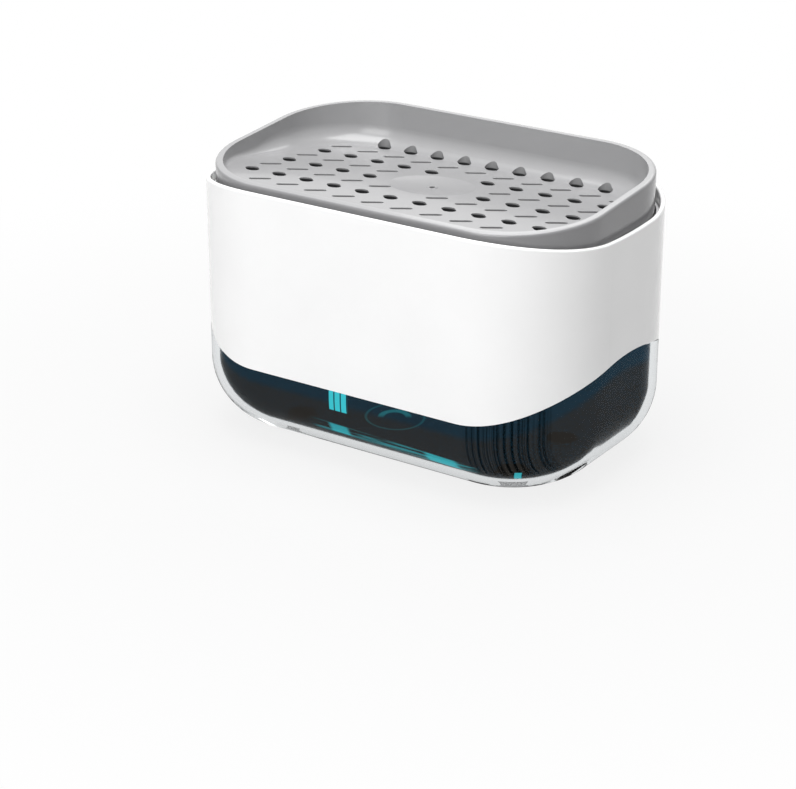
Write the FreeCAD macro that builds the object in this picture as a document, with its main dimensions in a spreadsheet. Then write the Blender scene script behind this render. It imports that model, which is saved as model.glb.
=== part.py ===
import FreeCAD, Part
import math
import os
from types import SimpleNamespace

import Sketcher

# A press-down soap pump with a sponge tray on top, in millimetres.
# +X runs along the length, -Y is the front and +Z is up.
# The origin is on the ground, under the middle of the caddy.

SIZES = {
    # outer form, shared by the sleeve and the tank
    "length": 145.0,
    "depth": 93.0,
    "corner_radius": 34.0,
    "foot_stand": 0.8,
    # white sleeve: height at the front, dip at the ends, lower edge and its arch at the ends
    "sleeve_wall": 1.6,
    "sleeve_top": 87.7,
    "top_dip": 5.5,
    "edge_height": 27.6,
    "edge_rise": 15.2,
    "edge_seam": 0.2,
    "sleeve_round": 0.8,
    # clear tank, with a sump ring on its floor
    "tank_wall": 2.4,
    "shoulder_thickness": 1.0,
    "bottom_round": 22.5,
    "sleeve_fit": 0.15,
    "sump_radius": 10.0,
    "sump_wall": 1.6,
    "sump_height": 1.6,
    # foot pads, set in from the edge of the flat bottom
    "foot_radius": 5.0,
    "foot_recess": 0.5,
    "foot_inset": 4.0,
    "foot_fit": 0.1,
    # lid: flange on the tank's edge, collar inside the sleeve, drip basin and pump neck
    "seal_thickness": 1.2,
    "seal_inset": 0.2,
    "lid_gap": 0.25,
    "flange_thickness": 1.8,
    "collar_wall": 0.8,
    "collar_drop": 1.4,
    "plug_gap": 1.0,
    "lid_wall": 1.6,
    "lid_floor": 1.8,
    "neck_wall": 3.5,
    "neck_height": 8.0,
    "neck_room": 0.5,
    # pump held on the neck
    "gasket_thickness": 1.0,
    "pump_flange_step": 0.2,
    "pump_flange_thickness": 1.5,
    "closure_gap": 0.2,
    "closure_wall": 2.3,
    "closure_plate": 1.5,
    "closure_room": 1.5,
    "closure_lift": 1.0,
    "bore_radius": 7.2,
    "barrel_wall": 1.3,
    "barrel_floor": 3.0,
    "guide_ledge": 2.3,
    "guide_head_thickness": 1.5,
    "guide_length": 8.0,
    "guide_fit": 0.1,
    # plunger
    "stroke": 10.5,
    "press_room": 0.8,
    "skirt_room": 0.9,
    "stem_radius": 4.0,
    "stem_bore": 2.2,
    "stem_tail": 1.7,
    "running_fit": 0.06,
    "press_fit": 0.02,
    "port_radius": 0.9,
    "stop_gap": 0.3,
    "piston_height": 6.0,
    "piston_waist": 0.8,
    "lip_height": 1.5,
    "seat_room": 0.8,
    "seat_thickness": 2.5,
    "seat_plug": 1.2,
    "spring_length": 16.5,
    "spring_wire": 0.9,
    "spring_room": 0.05,
    # inlet valve and suction tube
    "valve_depth": 8.0,
    "seat_hole": 1.8,
    "seat_web": 1.0,
    "ball_rest": 0.7,
    "ball_room": 0.7,
    "ball_seat_gap": 0.02,
    "socket_depth": 4.0,
    "socket_wall": 2.0,
    "tube_radius": 2.95,
    "tube_bore": 2.0,
    "tube_fit": 0.05,
    "tube_end_gap": 0.2,
    "suction_gap": 1.5,
    # tray: its rim climbs and its floor falls over the caddy's depth, from front to back
    "tray_gap": 0.55,
    "tray_wall": 2.4,
    "rim_stand": 1.0,
    "rim_rise": 6.8,
    "rim_round": 0.9,
    "front_lip": 0.5,
    "floor_fall": 9.8,
    "floor_thickness": 1.6,
    "skirt_drop": 0.9,
    "front_round": 1.6,
    "back_round": 6.0,
    "dish_radius": 14.0,
    "dish_depth": 0.8,
    # tray perforations
    "column_pitch": 10.75,
    "row_pitch": 19.95,
    "first_row": 23.8,
    "hole_width": 4.2,
    "hole_length": 6.2,
    "slot_length": 7.2,
    "slot_width": 2.1,
    "dish_margin": 0.5,
    "wall_margin": 1.6,
    # hub under the tray and soap outlet
    "hub_wall": 0.9,
    "hub_socket": 5.2,
    "hub_passage": 0.8,
    "ring_radius": 0.7,
    "ring_height": 2.2,
    "ring_room": 0.1,
    "nozzle_radius": 1.6,
    "nozzle_bore": 0.9,
    "nozzle_stand": 0.15,
    "nozzle_length": 2.85,
    "nozzle_round": 0.15,
    "nozzle_fit": 0.05,
    # how far cutting tools run past what they cut
    "overrun": 1.0,
}

COLUMNS_EACH_SIDE = 5
HOLE_ROWS = 4
SLOT_TURN = math.radians(45)
HOLE_TURN = math.radians(135)
SPRING_TURNS = 5
STEPS_PER_TURN = 4
# the most of a wall that an edge round may take on each side
ROUND_LIMIT_SHARE = 0.4

doc = FreeCAD.newDocument("soap_pump_caddy")
sheet = doc.addObject("Spreadsheet::Sheet", "sizes")
for row, (name, number) in enumerate(SIZES.items(), start=1):
    sheet.set(f"A{row}", name)
    sheet.set(f"B{row}", str(number))
    sheet.setAlias(f"B{row}", name)
doc.recompute()


class Size:
    """A length that carries its sheet expression and its present value."""

    def __init__(self, text, value):
        self.text = text
        self.value = value

    def __add__(self, other):
        return Size(f"({self.text} + {text_of(other)})", self.value + value_of(other))

    def __sub__(self, other):
        return Size(f"({self.text} - {text_of(other)})", self.value - value_of(other))

    def __mul__(self, other):
        return Size(f"({self.text} * {text_of(other)})", self.value * value_of(other))

    def __truediv__(self, other):
        return Size(f"({self.text} / {text_of(other)})", self.value / value_of(other))

    def __neg__(self):
        return Size(f"(-{self.text})", -self.value)


def text_of(item):
    return item.text if isinstance(item, Size) else str(item)


def value_of(item):
    return item.value if isinstance(item, Size) else item


def root(item):
    return Size(f"sqrt({item.text})", math.sqrt(item.value))


size = SimpleNamespace(**{name: Size(f"sizes.{name}", number) for name, number in SIZES.items()})
half_length = size.length / 2
half_depth = size.depth / 2

# insets of the nested walls from the outer form
tank_upper_inset = size.sleeve_wall + size.sleeve_fit
lid_inset = size.sleeve_wall + size.lid_gap
mouth_inset = tank_upper_inset + size.tank_wall
plug_inset = mouth_inset + size.plug_gap
basin_inset = plug_inset + size.lid_wall
tray_inset = lid_inset + size.collar_wall + size.tray_gap
tray_inner_inset = tray_inset + size.tray_wall

# radii that follow from a fit
ball_radius = size.seat_hole + size.ball_rest
chamber_radius = ball_radius + size.ball_room
barrel_radius = size.bore_radius + size.barrel_wall
spring_radius = (size.bore_radius + chamber_radius) / 2
neck_bore = barrel_radius + size.neck_room
neck_radius = neck_bore + size.neck_wall
pump_flange_radius = neck_radius - size.pump_flange_step
closure_bore = neck_radius + size.closure_gap
closure_hole = size.stem_radius + size.closure_room
guide_radius = size.bore_radius - size.guide_fit
stem_hole = size.stem_radius + size.running_fit
tube_hole = size.tube_radius + size.tube_fit
socket_radius = tube_hole + size.socket_wall
ring_groove = size.ring_radius + size.ring_room
groove_radius = stem_hole + ring_groove * 2
nozzle_hole = size.nozzle_radius + size.nozzle_fit

# heights of the tray, given at the front and back of the caddy's depth
rim_front = size.sleeve_top + size.rim_stand
rim_back = rim_front + size.rim_rise
floor_front = rim_front - size.front_lip + (size.rim_rise + size.floor_fall) * tray_inner_inset / size.depth
floor_back = floor_front - size.floor_fall
floor_middle = (floor_front + floor_back) / 2
under_front = floor_front - size.floor_thickness
under_back = floor_back - size.floor_thickness
skirt_low = under_back - size.skirt_drop
dish_low = floor_middle - size.dish_depth
nozzle_top = dish_low + size.nozzle_stand
nozzle_low = nozzle_top - size.nozzle_length

# heights of the pump, from the hub down to the suction tube
stem_top = nozzle_low - size.hub_passage
hub_low = stem_top - size.hub_socket
ring_middle = hub_low + size.ring_height
closure_top = hub_low - size.stroke - size.press_room
guide_top = closure_top - size.closure_plate
pump_flange_top = guide_top - size.guide_head_thickness
gasket_top = pump_flange_top - size.pump_flange_thickness
neck_top = gasket_top - size.gasket_thickness
basin_floor = neck_top - size.neck_height
closure_low = basin_floor + size.closure_lift
guide_low = guide_top - size.guide_length
piston_high = guide_low - size.stop_gap
piston_low = piston_high - size.piston_height
stem_low = piston_low - size.stem_tail
seat_low = stem_low - size.seat_thickness
ledge = seat_low - size.spring_length
barrel_low = ledge - size.barrel_floor
chamber_low = ledge - size.valve_depth
socket_top = chamber_low - size.seat_web
cylinder_low = socket_top - size.socket_depth

# heights of the lid and the tank
collar_top = size.sleeve_top - size.top_dip - size.collar_drop
flange_top = skirt_low - size.stroke - size.skirt_room
lid_seat = flange_top - size.flange_thickness
tank_top = lid_seat - size.seal_thickness
edge_top = size.edge_height + size.edge_rise
tank_low = size.foot_stand
cavity_low = tank_low + size.tank_wall
straight_low = tank_low + size.bottom_round

# the ground, and no inset
zero = Size("0", 0)


def bind(item, path, length):
    item.setExpression(path, text_of(length))


def rounded_outline(body, name, inset, low):
    """Add a sketch of the caddy's rounded rectangle, drawn in by an inset."""
    sketch = body.newObject("Sketcher::SketchObject", name)
    plane = next(item for item in body.Origin.OriginFeatures if item.Role == "XY_Plane")
    sketch.AttachmentSupport = [(plane, "")]
    sketch.MapMode = "FlatFace"
    bind(sketch, "AttachmentOffset.Base.z", low)
    radius = size.corner_radius - inset
    straight_x = size.length - size.corner_radius * 2
    straight_y = size.depth - size.corner_radius * 2
    upright = FreeCAD.Vector(0, 0, 1)
    quarter = math.pi / 2
    arcs = []
    for number, (side_x, side_y) in enumerate(((1, 1), (-1, 1), (-1, -1), (1, -1))):
        centre = FreeCAD.Vector(side_x * straight_x.value / 2, side_y * straight_y.value / 2, 0)
        circle = Part.Circle(centre, upright, radius.value)
        arcs.append(Part.ArcOfCircle(circle, number * quarter, (number + 1) * quarter))
    for arc in arcs:
        sketch.addGeometry(arc)
    for number, arc in enumerate(arcs):
        following = arcs[(number + 1) % 4]
        sketch.addGeometry(Part.LineSegment(arc.EndPoint, following.StartPoint))
    for number in range(4):
        line = 4 + number
        sketch.addConstraint(Sketcher.Constraint("Tangent", number, 2, line, 1))
        sketch.addConstraint(Sketcher.Constraint("Tangent", line, 2, (number + 1) % 4, 1))
        direction = "Vertical" if number % 2 else "Horizontal"
        sketch.addConstraint(Sketcher.Constraint(direction, line))
    for number in range(3):
        sketch.addConstraint(Sketcher.Constraint("Equal", number, number + 1))
    sketch.addConstraint(Sketcher.Constraint("Symmetric", 0, 3, 2, 3, -1, 1))
    driven = (
        ("radius", Sketcher.Constraint("Radius", 0, radius.value), radius),
        ("straight_x", Sketcher.Constraint("DistanceX", 1, 3, 0, 3, straight_x.value), straight_x),
        ("straight_y", Sketcher.Constraint("DistanceY", 3, 3, 0, 3, straight_y.value), straight_y),
    )
    for label, constraint, length in driven:
        number = sketch.addConstraint(constraint)
        sketch.renameConstraint(number, label)
        bind(sketch, f"Constraints.{label}", length)
    return sketch


def rounded_prism(name, inset, low, high, bottom_round=None):
    """Pad the rounded rectangle between two heights, with an optional round at its foot."""
    body = doc.addObject("PartDesign::Body", name)
    sketch = rounded_outline(body, f"{name}_outline", inset, low)
    pad = body.newObject("PartDesign::Pad", f"{name}_pad")
    pad.Profile = sketch
    bind(pad, "Length", high - low)
    doc.recompute()
    if bottom_round is not None:
        foot = edges_where(pad.Shape, lambda point: near(point.z, low.value))
        fillet = body.newObject("PartDesign::Fillet", f"{name}_round")
        fillet.Base = (pad, [f"Edge{number}" for number in foot])
        bind(fillet, "Radius", bottom_round)
    return body


def near(first, second):
    return math.isclose(first, second, rel_tol=0, abs_tol=Part.Precision.confusion())


def edges_where(shape, test):
    """Numbers of the edges whose ends all pass a test."""
    found = []
    for number, edge in enumerate(shape.Edges, start=1):
        if all(test(vertex.Point) for vertex in edge.Vertexes):
            found.append(number)
    return found


def cylinder(name, radius, low, high, x=None, y=None):
    item = doc.addObject("Part::Cylinder", name)
    bind(item, "Radius", radius)
    bind(item, "Height", high - low)
    bind(item, "Placement.Base.z", low)
    if x is not None:
        bind(item, "Placement.Base.x", x)
        bind(item, "Placement.Base.y", y)
    return item


def cross_cylinder(name, radius, half_span, height):
    """A cylinder that lies along X, centred on the Z axis."""
    item = doc.addObject("Part::Cylinder", name)
    item.Placement = FreeCAD.Placement(FreeCAD.Vector(), FreeCAD.Rotation(FreeCAD.Vector(0, 1, 0), 90))
    bind(item, "Radius", radius)
    bind(item, "Height", half_span * 2)
    bind(item, "Placement.Base.x", -half_span)
    bind(item, "Placement.Base.z", height)
    return item


def sloped_block(name, front_low, back_low, front_high, back_high):
    """A block over the whole plan whose heights are given at the front and the back."""
    item = doc.addObject("Part::Wedge", name)
    for side in ("Xmin", "X2min"):
        bind(item, side, -half_length)
    for side in ("Xmax", "X2max"):
        bind(item, side, half_length)
    bind(item, "Ymin", -half_depth)
    bind(item, "Ymax", half_depth)
    bind(item, "Zmin", front_low)
    bind(item, "Z2min", back_low)
    bind(item, "Zmax", front_high)
    bind(item, "Z2max", back_high)
    return item


def cut(name, base, tool):
    item = doc.addObject("Part::Cut", name)
    item.Base = base
    item.Tool = tool
    item.Refine = True
    return item


def fuse(name, items):
    item = doc.addObject("Part::MultiFuse", name)
    item.Shapes = items
    item.Refine = True
    return item


def common(name, first, second):
    item = doc.addObject("Part::Common", name)
    item.Base = first
    item.Tool = second
    return item


def joined(name, sections):
    """Fuse coaxial cylinders, each given as a radius and two heights."""
    items = [cylinder(f"{name}_{number}", *section) for number, section in enumerate(sections, start=1)]
    return fuse(name, items) if len(items) > 1 else items[0]


def turned(name, sections, bores):
    """A turned piece: coaxial sections less coaxial bores."""
    return cut(name, joined(f"{name}_section", sections), joined(f"{name}_bore", bores))


def edge_arch(name, offset):
    """The cylinder along X whose top is the sleeve's arched lower edge, moved out by an offset."""
    rise = size.edge_rise
    radius = (half_depth * half_depth + rise * rise) / (rise * 2)
    return cross_cylinder(name, radius + offset, half_length + size.overrun, edge_top - radius)


def tank_form(name, inset, upper_inset, low, top, bottom_round, arch_offset):
    """The tank's outside or its hollow: a round-footed cup up to the arch, and a narrower mouth."""
    cup = rounded_prism(f"{name}_cup", inset, low, edge_top + size.overrun, bottom_round)
    lower = common(f"{name}_lower", cup, edge_arch(f"{name}_arch", arch_offset))
    upper = rounded_prism(f"{name}_upper", upper_inset, straight_low, top)
    return fuse(name, [lower, upper])


def foot_places():
    for number, (side_x, side_y) in enumerate(((-1, -1), (1, -1), (1, 1), (-1, 1)), start=1):
        inset = size.bottom_round + size.foot_inset + size.foot_radius
        yield number, (half_length - inset) * side_x, (half_depth - inset) * side_y


def tank():
    """The clear vessel, with a sump ring on its floor and recesses for the feet."""
    outside = tank_form("tank_outside", zero, tank_upper_inset, tank_low, tank_top,
                        size.bottom_round, zero)
    hollow = tank_form("tank_hollow", size.tank_wall, mouth_inset, cavity_low, tank_top + size.overrun,
                       size.bottom_round - size.tank_wall, -size.shoulder_thickness)
    sump_top = cavity_low + size.sump_height
    ring = turned("sump_ring", [(size.sump_radius, cavity_low - size.overrun, sump_top)],
                  [(size.sump_radius - size.sump_wall, cavity_low - size.overrun, sump_top + size.overrun)])
    recesses = []
    for number, x, y in foot_places():
        radius = size.foot_radius + size.foot_fit
        top = tank_low + size.foot_recess
        recesses.append(cylinder(f"foot_recess_{number}", radius, tank_low - size.overrun, top, x, y))
    vessel = cut("tank_vessel", outside, cut("tank_inside", hollow, ring))
    return cut("tank", vessel, fuse("foot_recesses", recesses))


def foot_pads():
    pads = []
    for number, x, y in foot_places():
        top = tank_low + size.foot_recess
        pads.append(cylinder(f"foot_pad_{number}", size.foot_radius, zero, top, x, y))
    return pads


def housing_sleeve():
    """The white sleeve, cut by two arches along X: dipped above and raised below at the ends."""
    outside = rounded_prism("sleeve_outside", zero, size.edge_height, size.sleeve_top)
    inside = rounded_prism("sleeve_inside", size.sleeve_wall, size.edge_height - size.overrun,
                           size.sleeve_top + size.overrun)
    dip = size.top_dip
    radius = (half_depth * half_depth + dip * dip) / (dip * 2)
    dip_height = size.sleeve_top - dip + radius
    dip_tool = cross_cylinder("sleeve_dip", radius, half_length + size.overrun, dip_height)
    tube = cut("sleeve_tube", outside, inside)
    arched = cut("sleeve_arched", tube, edge_arch("sleeve_arch", size.edge_seam))
    dipped = cut("sleeve_dipped", arched, dip_tool)
    doc.recompute()

    def on_top_edge(point):
        return near(math.hypot(point.y, point.z - dip_height.value), radius.value)

    sleeve = doc.addObject("Part::Fillet", "housing_sleeve")
    sleeve.Base = dipped
    softened = min(size.sleeve_round.value, size.sleeve_wall.value * ROUND_LIMIT_SHARE)
    sleeve.Edges = [(number, softened, softened) for number in edges_where(dipped.Shape, on_top_edge)]
    return sleeve


def drip_lid():
    """The lid: a collared flange on the tank's edge, a drip basin and the pump's neck."""
    collar = rounded_prism("lid_collar", lid_inset, lid_seat, collar_top)
    plug = rounded_prism("lid_plug", plug_inset, basin_floor - size.lid_floor, flange_top)
    above = rounded_prism("lid_collar_hollow", lid_inset + size.collar_wall, flange_top,
                          collar_top + size.overrun)
    basin = rounded_prism("lid_basin_hollow", basin_inset, basin_floor, flange_top + size.overrun)
    neck_low = basin_floor - size.lid_floor
    neck = cylinder("lid_neck", neck_radius, neck_low, neck_top)
    bore = cylinder("lid_neck_bore", neck_bore, neck_low - size.overrun, neck_top + size.overrun)
    shell = cut("lid_shell", fuse("lid_blank", [collar, plug]), fuse("lid_hollow", [above, basin]))
    return cut("drip_lid", fuse("lid_with_neck", [shell, neck]), bore)


def lid_seal():
    outer = rounded_prism("seal_outside", lid_inset, tank_top, lid_seat)
    inner = rounded_prism("seal_inside", mouth_inset - size.seal_inset, tank_top - size.overrun,
                          lid_seat + size.overrun)
    return cut("lid_seal", outer, inner)


def closure_gasket():
    return turned("closure_gasket", [(pump_flange_radius, neck_top, gasket_top)],
                  [(neck_bore, neck_top - size.overrun, gasket_top + size.overrun)])


def pump_cylinder():
    """The pump barrel: flange, bore, valve chamber with its seat, and the tube's socket."""
    sections = [
        (pump_flange_radius, gasket_top, pump_flange_top),
        (barrel_radius, barrel_low, pump_flange_top),
        (socket_radius, cylinder_low, ledge),
    ]
    bores = [
        (size.bore_radius, ledge, pump_flange_top + size.overrun),
        (chamber_radius, chamber_low, ledge + size.overrun),
        (size.seat_hole, socket_top - size.overrun, chamber_low + size.overrun),
        (tube_hole, cylinder_low - size.overrun, socket_top),
    ]
    return turned("pump_cylinder", sections, bores)


def dip_tube():
    low = cavity_low + size.suction_gap
    high = socket_top - size.tube_end_gap
    return turned("dip_tube", [(size.tube_radius, low, high)],
                  [(size.tube_bore, low - size.overrun, high + size.overrun)])


def inlet_ball():
    """The check ball, resting on the edge of the seat hole."""
    ball = doc.addObject("Part::Sphere", "inlet_ball")
    bind(ball, "Radius", ball_radius)
    ride = root(ball_radius * ball_radius - size.seat_hole * size.seat_hole)
    bind(ball, "Placement.Base.z", chamber_low + ride + size.ball_seat_gap)
    return ball


def stem_guide():
    """The bush in the barrel's mouth that guides the stem and stops the piston."""
    sections = [
        (size.bore_radius + size.guide_ledge, pump_flange_top, guide_top),
        (guide_radius, guide_low, guide_top),
    ]
    return turned("stem_guide", sections, [(stem_hole, guide_low - size.overrun, guide_top + size.overrun)])


def pump_closure():
    """The cap over the neck that clamps the pump's flange and the guide."""
    bores = [
        (closure_bore, closure_low - size.overrun, guide_top),
        (closure_hole, guide_top - size.overrun, closure_top + size.overrun),
    ]
    return turned("pump_closure", [(closure_bore + size.closure_wall, closure_low, closure_top)], bores)


def pump_stem():
    """The hollow stem, with a cross port that the piston covers at rest."""
    tube = turned("stem_tube", [(size.stem_radius, stem_low, stem_top)],
                  [(size.stem_bore, stem_low - size.overrun, stem_top + size.overrun)])
    port_height = piston_low + size.piston_height / 2
    port = cross_cylinder("stem_port", size.port_radius, size.stem_radius + size.overrun, port_height)
    return cut("pump_stem", tube, port)


def piston():
    """The piston ring: two sealing lips that run in the bore, with a narrower waist."""
    lip = size.bore_radius - size.running_fit
    sections = [
        (lip, piston_low, piston_low + size.lip_height),
        (lip - size.piston_waist, piston_low, piston_high),
        (lip, piston_high - size.lip_height, piston_high),
    ]
    hole = size.stem_radius + size.press_fit
    return turned("piston", sections, [(hole, piston_low - size.overrun, piston_high + size.overrun)])


def piston_seat():
    """The plug in the stem's foot whose flange takes the spring."""
    sections = [
        (size.bore_radius - size.seat_room, seat_low, stem_low),
        (size.stem_bore - size.press_fit, seat_low, stem_low + size.seat_plug),
    ]
    return joined("piston_seat", sections)


def helix_point(turns, low, climb):
    angle = turns * math.tau
    radius = spring_radius.value
    return FreeCAD.Vector(radius * math.cos(angle), radius * math.sin(angle), low + climb * turns)


def helix_direction(turns, climb):
    angle = turns * math.tau
    around = math.tau * spring_radius.value
    direction = FreeCAD.Vector(-around * math.sin(angle), around * math.cos(angle), climb)
    return direction.normalize()


def tangent_arc(start, corner, end):
    """The arc from start to end whose end tangents meet at the corner."""
    middle = (start + end) / 2
    rise = corner - middle
    half_chord = (end - start).Length / 2
    sagitta = half_chord * math.tan(math.atan2(rise.Length, half_chord) / 2)
    return Part.Arc(start, middle + rise.normalize() * sagitta, end).toShape()


def biarc(start, start_way, end, end_way):
    """Two arcs that join two points with given directions."""
    span = end - start
    ways = start_way + end_way
    bend = 2 * (1 - start_way.dot(end_way))
    along = span.dot(ways)
    reach = (math.sqrt(along * along + bend * span.dot(span)) - along) / bend
    first_corner = start + start_way * reach
    second_corner = end - end_way * reach
    joint = (first_corner + second_corner) / 2
    return [tangent_arc(start, first_corner, joint), tangent_arc(joint, second_corner, end)]


def return_spring():
    """The coil between the barrel's ledge and the piston seat, as one tube on biarcs."""
    wire = size.spring_wire.value / 2
    room = size.spring_room.value
    low = ledge.value + wire + room
    climb = (size.spring_length.value - size.spring_wire.value - room * 2) / SPRING_TURNS
    count = SPRING_TURNS * STEPS_PER_TURN
    edges = []
    for number in range(count):
        start = number / STEPS_PER_TURN
        end = (number + 1) / STEPS_PER_TURN
        edges += biarc(helix_point(start, low, climb), helix_direction(start, climb),
                       helix_point(end, low, climb), helix_direction(end, climb))
    path = Part.Wire(edges)
    section = Part.Wire(Part.makeCircle(wire, helix_point(0, low, climb), helix_direction(0, climb)))
    spring = doc.addObject("Part::Feature", "return_spring")
    spring.Shape = path.makePipeShell([section], True, False)
    print("return spring least gap to itself", round(spring_gap(low, climb) - size.spring_wire.value, 3))
    return spring


def spring_gap(low, climb):
    """The least distance between the middle lines of turns that lie beside each other."""
    steps = SPRING_TURNS * STEPS_PER_TURN ** 2
    points = [helix_point(number * SPRING_TURNS / steps, low, climb) for number in range(steps + 1)]
    beside = steps // (SPRING_TURNS * 2)
    gaps = []
    for number, point in enumerate(points):
        gaps += [(other - point).Length for other in points[number + beside:]]
    return min(gaps)


def floor_height(y):
    share = (y + half_depth.value) / size.depth.value
    return floor_front.value - size.floor_fall.value * share


def room_to_wall(x, y):
    """How far a place on the tray's floor lies inside the tray's inner wall."""
    radius = size.corner_radius.value - tray_inner_inset.value
    past_x = max(abs(x) - (half_length - size.corner_radius).value, 0)
    past_y = max(abs(y) - (half_depth - size.corner_radius).value, 0)
    return radius - math.hypot(past_x, past_y)


def slot_cutter(x, y, length, width, turn):
    """An upright cutter with round ends, turned on the tray's floor."""
    radius = width.value / 2
    reach = length.value / 2 - radius
    centre = FreeCAD.Vector(x, y, skirt_low.value)
    along = FreeCAD.Vector(math.cos(turn), math.sin(turn), 0)
    across = FreeCAD.Vector(-math.sin(turn), math.cos(turn), 0)
    corners = [centre + along * (reach * way) + across * (radius * side)
               for way, side in ((1, -1), (1, 1), (-1, 1), (-1, -1))]
    tips = [centre + along * ((reach + radius) * way) for way in (1, -1)]
    outline = Part.Wire([
        Part.Arc(corners[0], tips[0], corners[1]).toShape(),
        Part.LineSegment(corners[1], corners[2]).toShape(),
        Part.Arc(corners[2], tips[1], corners[3]).toShape(),
        Part.LineSegment(corners[3], corners[0]).toShape(),
    ])
    return Part.Face(outline).extrude(FreeCAD.Vector(0, 0, (rim_back - skirt_low).value))


def tray_piercing():
    """Cutters for the drain holes and the slanted slots, left out at the dish and near the wall."""
    margin = size.wall_margin.value
    half_width = size.hole_width.value / 2
    half_slot = size.slot_length.value / 2
    dish = (size.dish_radius + size.dish_margin).value
    cutters = []
    for row in range(HOLE_ROWS):
        hole_y = row * size.row_pitch.value - size.first_row.value
        slot_y = hole_y - size.row_pitch.value / 2
        for column in range(-COLUMNS_EACH_SIDE, COLUMNS_EACH_SIDE + 1):
            x = column * size.column_pitch.value
            clear_of_dish = math.hypot(x, hole_y) > dish + half_width
            if clear_of_dish and room_to_wall(x, hole_y) > half_width + margin:
                cutters.append(slot_cutter(x, hole_y, size.hole_length, size.hole_width, HOLE_TURN))
            clear_of_dish = math.hypot(x, slot_y) > dish + size.slot_width.value
            if clear_of_dish and room_to_wall(x, slot_y) > half_slot + margin:
                cutters.append(slot_cutter(x, slot_y, size.slot_length, size.slot_width, SLOT_TURN))
    piercing = doc.addObject("Part::Feature", "tray_piercing")
    piercing.Shape = Part.Compound(cutters)
    return piercing


def tray_dish():
    """The part of a sphere that hollows the round dish out of the sloped floor."""
    depth = size.dish_depth
    radius = (size.dish_radius * size.dish_radius + depth * depth) / (depth * 2)
    fall = size.floor_fall
    slant = root(fall * fall + size.depth * size.depth)
    ball = doc.addObject("Part::Sphere", "tray_dish_ball")
    bind(ball, "Radius", radius)
    bind(ball, "Placement.Base.y", (radius - depth) * fall / slant)
    bind(ball, "Placement.Base.z", floor_middle + (radius - depth) * size.depth / slant)
    bound = cylinder("tray_dish_bound", size.dish_radius + size.overrun, skirt_low, rim_back)
    return common("tray_dish", ball, bound)


def rimmed_block():
    """The tray's outside, up to its sloped rim with a softened outer edge."""
    above = rim_back + size.overrun * 2
    blank = rounded_prism("tray_blank", tray_inset, skirt_low, rim_back + size.overrun)
    trimmed = cut("tray_trimmed", blank, sloped_block("tray_rim_tool", rim_front, rim_back, above, above))
    doc.recompute()
    slope = size.rim_rise / size.depth
    middle = (rim_back + rim_front) / 2

    def on_rim(point):
        return near(point.z, middle.value + slope.value * point.y)

    block = doc.addObject("Part::Fillet", "tray_block")
    block.Base = trimmed
    softened = min(size.rim_round.value, size.tray_wall.value * ROUND_LIMIT_SHARE)
    block.Edges = [(number, softened, softened) for number in edges_where(trimmed.Shape, on_rim)]
    return block


def basin_tool():
    """What the tray's basin removes: everything over the sloped floor, round where floor meets wall."""
    above = rim_back + size.back_round
    column = rounded_prism("tray_basin_column", tray_inner_inset, skirt_low, above)
    over = sloped_block("tray_over_floor", floor_front, floor_back, above, above)
    basin = common("tray_basin_block", column, over)
    doc.recompute()
    rounds = []
    for number in edges_where(basin.Shape, lambda point: near(point.z, floor_height(point.y))):
        ends = basin.Shape.Edges[number - 1].Vertexes
        radii = [size.back_round.value if end.Point.y > 0 else size.front_round.value for end in ends]
        rounds.append((number, radii[0], radii[1]))
    tool = doc.addObject("Part::Fillet", "tray_basin")
    tool.Base = basin
    tool.Edges = rounds
    return tool


def press_tray():
    """The sponge tray: skirt, sloped pierced floor, dish and rim."""
    low = skirt_low - size.overrun
    column = rounded_prism("tray_under_column", tray_inner_inset, low, rim_back)
    below = sloped_block("tray_under_floor", low, low, under_front, under_back)
    under = common("tray_underside", column, below)
    hole = cylinder("tray_outlet_hole", nozzle_hole, low, rim_back)
    hollow = cut("tray_hollow", rimmed_block(), fuse("tray_hollow_tools", [basin_tool(), under]))
    dished = cut("tray_dished", hollow, fuse("tray_dish_tools", [tray_dish(), hole]))
    return cut("press_tray", dished, tray_piercing())


def tray_hub():
    """The socket under the tray: it grips the stem and leads the soap to the outlet."""
    post = cylinder("hub_post", groove_radius + size.hub_wall, hub_low, floor_front)
    seated = common("hub_seated", post, sloped_block("hub_floor", zero, zero, under_front, under_back))
    bores = [
        (stem_hole, hub_low - size.overrun, stem_top),
        (groove_radius, ring_middle - ring_groove, ring_middle + ring_groove),
        (size.nozzle_bore, stem_top - size.overrun, nozzle_low + size.overrun),
        (nozzle_hole, nozzle_low, floor_front),
    ]
    return cut("tray_hub", seated, joined("hub_bore", bores))


def stem_o_ring():
    ring = doc.addObject("Part::Torus", "stem_o_ring")
    bind(ring, "Radius1", stem_hole + size.ring_radius)
    bind(ring, "Radius2", size.ring_radius)
    bind(ring, "Placement.Base.z", ring_middle)
    return ring


def outlet_nozzle():
    """The soap outlet: a small bush that stands in the dish, its top edge softened."""
    bush = turned("nozzle_bush", [(size.nozzle_radius, nozzle_low, nozzle_top)],
                  [(size.nozzle_bore, nozzle_low - size.overrun, nozzle_top + size.overrun)])
    doc.recompute()

    def on_top(point):
        outermost = near(math.hypot(point.x, point.y), size.nozzle_radius.value)
        return outermost and near(point.z, nozzle_top.value)

    nozzle = doc.addObject("Part::Fillet", "outlet_nozzle")
    nozzle.Base = bush
    wall = (size.nozzle_radius - size.nozzle_bore).value
    softened = min(size.nozzle_round.value, wall * ROUND_LIMIT_SHARE)
    nozzle.Edges = [(number, softened, softened) for number in edges_where(bush.Shape, on_top)]
    return nozzle


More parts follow.
